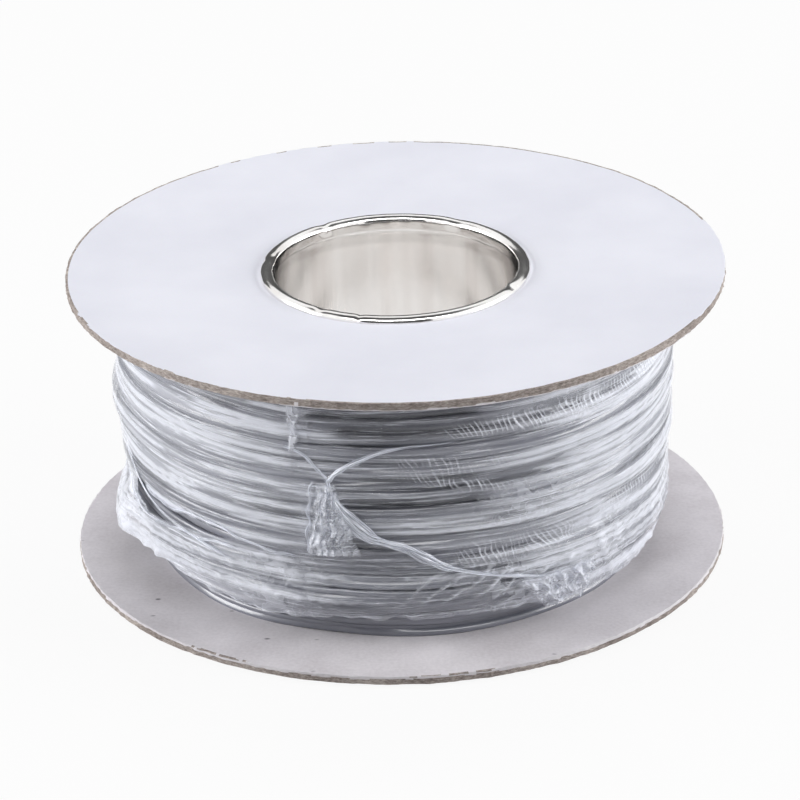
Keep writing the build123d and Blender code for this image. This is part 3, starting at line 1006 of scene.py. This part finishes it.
def camera():
    """A long lens in front of the reel, looking down on it. Its places are in metres."""
    distance, rise, lean = 1.4215, math.radians(24.95), math.radians(-1.4135)
    data = bpy.data.cameras.new("camera")
    data.lens, data.sensor_width = 208.5, 36
    data.clip_start, data.clip_end = 0.05, 50
    view = bpy.data.objects.new("camera", data)
    bpy.context.scene.collection.objects.link(view)
    view.location = (0, -distance * math.cos(rise), distance * math.sin(rise) + mid * MM)
    aim = Vector((0.00045, 0, mid * MM - 0.0002)) - view.location
    view.rotation_mode = "QUATERNION"
    view.rotation_quaternion = aim.to_track_quat("-Z", "Y") @ Quaternion((0, 0, 1), lean)
    bpy.context.scene.camera = view


def soft_light(name, place, aim, width, height, power, mirrored=True):
    """A soft box at its place, in metres, turned to its aim."""
    data = bpy.data.lights.new(name, "AREA")
    data.shape, data.size, data.size_y, data.energy = "RECTANGLE", width, height, power
    lamp = bpy.data.objects.new(name, data)
    bpy.context.scene.collection.objects.link(lamp)
    lamp.location = place
    lamp.visible_glossy = mirrored
    lamp.rotation_euler = (Vector(aim) - Vector(place)).to_track_quat("-Z", "Y").to_euler()


def shows_backdrop(owner):
    """1 for the rays that show the backdrop: straight, mirrored, or through film."""
    rays = add(owner, "LightPath")
    seen = add(owner, "Math", LARGER,
               {0: rays.outputs["Is Camera Ray"], 1: rays.outputs["Is Glossy Ray"]})
    return add(owner, "Math", LARGER, {0: seen, 1: rays.outputs["Is Transmission Ray"]})


def studio_floor():
    """A white sweep that shows clean, keeps the reel's shadow and is clear from below."""
    deselect()
    bpy.ops.mesh.primitive_plane_add(size=14, location=(0, 0, -0.0004))
    floor = bpy.context.object
    floor.name = "studio_floor"
    m = new_material("white_sweep")
    share = add(m, "Math", TIMES, {0: shows_backdrop(m), 1: 0.92})
    matt = add(m, "BsdfDiffuse", inputs={"Color": grey(0.7)})
    white = add(m, "Emission", inputs={"Color": grey(1.0), "Strength": 1.0})
    top = add(m, "MixShader", inputs={0: share, 1: matt, 2: white})
    under = add(m, "NewGeometry").outputs["Backfacing"]
    clear = add(m, "BsdfTransparent")
    floor.data.materials.append(close_material(m, "MixShader", {0: under, 1: top, 2: clear}))


def mirrored_card(name, place, tilt, size, tone, strength):
    """A card that only reflections see. Black ones give bright metal and film their dark
    lines, and the strip light high in front gives each turn its long sheen."""
    deselect()
    bpy.ops.mesh.primitive_plane_add(size=1, location=place, rotation=(math.radians(tilt), 0, 0))
    card = bpy.context.object
    card.name, card.scale = name, (*size, 1)
    glow = {"Color": grey(tone), "Strength": strength}
    card.data.materials.append(close_material(new_material(name), "Emission", glow))
    card.visible_camera = card.visible_diffuse = card.visible_shadow = False
    card.visible_transmission = card.visible_volume_scatter = False


def studio():
    world = bpy.data.worlds.new("studio")
    bpy.context.scene.world = world
    world.use_nodes = True
    world.node_tree.nodes.clear()
    light = add(world, "Background", inputs={"Color": grey(0.20), "Strength": 1.0})
    white = add(world, "Background", inputs={"Color": grey(1.0), "Strength": 1.0})
    sky = add(world, "MixShader", inputs={0: shows_backdrop(world), 1: light, 2: white})
    add(world, "OutputWorld", inputs={"Surface": sky})
    studio_floor()
    mirrored_card("camera_side_card", (0, -2.6, 1.4), 90, (2.8, 2.6), 0.10, 1.0)
    mirrored_card("far_card", (0, 3.0, 1.0), 90, (6.0, 1.7), 0.10, 1.0)
    mirrored_card("roof_card", (0, 0.2, 2.6), 0, (3.0, 2.2), 0.10, 1.0)
    mirrored_card("sheen_strip", (0, -1.5, 2.25), 55, (3.6, 0.75), 1.0, 7.0)
    for name, x in (("left_box", -1.45), ("right_box", 1.45)):
        soft_light(name, (x, -0.15, 0.62), (0, 0, 0.04), 1.0, 0.9, 21.5)
    soft_light("top_box", (0.1, 0.75, 1.5), (0, 0, 0.05), 1.1, 0.8, 8.3, mirrored=False)


# --- The reel -----------------------------------------------------------------------------

camera()
studio()
bpy.context.scene.view_settings.view_transform = "Standard"

PAPER, BOARD, CUT, TIN = laminated_paper(), greyboard(), cut_board(), rolled_tinplate()
PVC, COPPER, FILM, ROPE = extruded_pvc(), drawn_copper(), stretch_film_sheet(), bunched_film()

card_flange("upper_flange", "top_flange", 1, 11)
card_flange("lower_flange", "bottom_flange", -1, 21)
tin_core()

wound_cable("outer_turns", 0, 0.0, outer_turns - 22 / 360)
wound_cable("second_layer", 1, 0.0, outer_turns + 4)
wound_cable("third_layer", 2, outer_turns + 1.0, outer_turns + 5)
wound_cable("fourth_layer", 3, outer_turns + 3.0, outer_turns + 6)
wound_cable("fifth_layer", 4, outer_turns + 5.0, outer_turns + 7)
packed_turns()

cut_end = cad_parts["cable_end"]
cut_end.data.materials.clear()
cut_end.data.materials.append(PVC)
stranded_conductor("lower_strands", "conductor_lower")
stranded_conductor("upper_strands", "conductor_upper")

FILM_LIE = film_sheet()
gathered_film("gather_under_knot", (-16.4, -12.6), (-18.9, -7.6), -11.5, 12.8, 3, 1.7, 0.5)
gathered_film("gather_at_tip", (23.0, 43.0), (31.0, 41.0), -36.8, -24.0, 4, 2.2, 0.8)
drawn_ribbon("strand_up_right", [
    (-14.2, 12.8, 1.0, 0.9), (-13.2, 15.0, 0.8, 0.8), (-11.6, 17.0, 0.5, 0.9),
    (-8.4, 20.0, 0.3, 1.0), (-3.7, 23.2, 0.1, 0.8), (0.6, 24.5, 0.0, 0.5),
    (6.0, 25.0, 0.0, 0.35), (12, 25.2, 0.0, 0.3)], 3, 5)
drawn_ribbon("strand_down_right", [
    (-14.6, 14.6, 0.9, 0.7), (-14.0, 12.4, 1.0, 0.9), (-13.5, 8.4, 0.8, 1.3),
    (-12.0, 3.6, 0.6, 2.1), (-9.6, -0.6, 0.6, 2.6), (-6.6, -4.3, 0.6, 2.2),
    (-3.6, -6.0, 0.5, 1.4), (0.4, -7.6, 0.5, 1.7), (4.4, -11.2, 0.5, 2.0),
    (8.2, -15.5, 0.5, 1.4), (12.5, -17.8, 0.5, 0.8), (19, -20.5, 0.4, 0.6),
    (26, -23.1, 0.4, 0.5), (33, -26.0, 0.4, 0.6), (38, -28.3, 0.4, 1.2)], 6, 6)
drawn_ribbon("strand_beside", [
    (-13.6, 10.0, 0.6, 0.5), (-11.4, 5.6, 0.5, 0.7), (-9.0, 2.0, 0.4, 0.7),
    (-6.4, -1.6, 0.4, 0.6), (-4.4, -4.6, 0.4, 0.5), (-1.0, -6.4, 0.4, 0.4)], 2, 12)
drawn_ribbon("strand_up_left", [
    (-13.9, 13.6, 0.8, 0.5), (-15.4, 15.2, 0.5, 0.6), (-17.0, 17.6, 0.2, 0.7),
    (-18.6, 20.4, 0.1, 0.6), (-21.0, 22.0, 0.0, 0.6), (-24.0, 23.0, 0.0, 0.5)], 2, 7)
gathered_film("gather_above", (-22.8, -18.9), (-22.2, -20.2), 20.5, 36.8, 9, 0.9, 0.1)
drawn_ribbon("loose_edge", [
    (-16.8, 13.5, 0.3, 0.4), (-17.9, 10.2, 0.3, 0.5), (-17.7, 6.5, 0.3, 0.4),
    (-18.5, 3.0, 0.3, 0.6), (-18.1, -0.5, 0.3, 0.4), (-18.8, -4.0, 0.3, 0.6),
    (-18.3, -8.0, 0.2, 0.5), (-18.9, -12.0, 0.1, 0.6)], 2, 8, 0.3)
drawn_ribbon("tent_edge_high", [
    (-74, 0.5, 0.2, 0.5), (-71, -3.0, 0.3, 0.6), (-68, -5.7, 0.4, 0.6),
    (-64, -8.6, 0.4, 0.5), (-60.3, -11.0, 0.4, 0.5), (-55.1, -13.6, 0.3, 0.5),
    (-50.3, -15.3, 0.3, 0.5), (-46, -16.4, 0.2, 0.7), (-40, -14.6, 0.1, 0.6),
    (-33, -15.2, 0.0, 0.5)], 2, 10, 0.6)
drawn_ribbon("tent_edge_low", [
    (-72.6, -6.9, 0.3, 0.7), (-70, -12.0, 0.5, 0.8), (-67, -15.6, 0.5, 0.8),
    (-63.8, -17.7, 0.5, 0.7), (-56.8, -17.8, 0.4, 0.6), (-50.0, -15.9, 0.3, 0.5),
    (-44, -17.6, 0.1, 0.7), (-36, -20.0, 0.0, 0.6)], 3, 9, 0.6)
drawn_ribbon("left_tuck", [
    (-63.0, -7.6, 0.2, 0.4), (-60.8, -8.8, 0.2, 0.5), (-56.7, -9.2, 0.2, 0.5),
    (-52.3, -9.6, 0.3, 0.6), (-48.3, -8.4, 0.3, 0.5), (-42.3, -8.3, 0.4, 0.6),
    (-37.0, -8.9, 0.5, 0.7), (-34.6, -10.4, 0.4, 0.6), (-30.0, -11.4, 0.2, 0.5),
    (-26.5, -12.6, 0.4, 0.9), (-23.7, -12.5, 0.3, 0.7), (-20, -13.0, 0.1, 0.4)], 3, 14, 0.55)
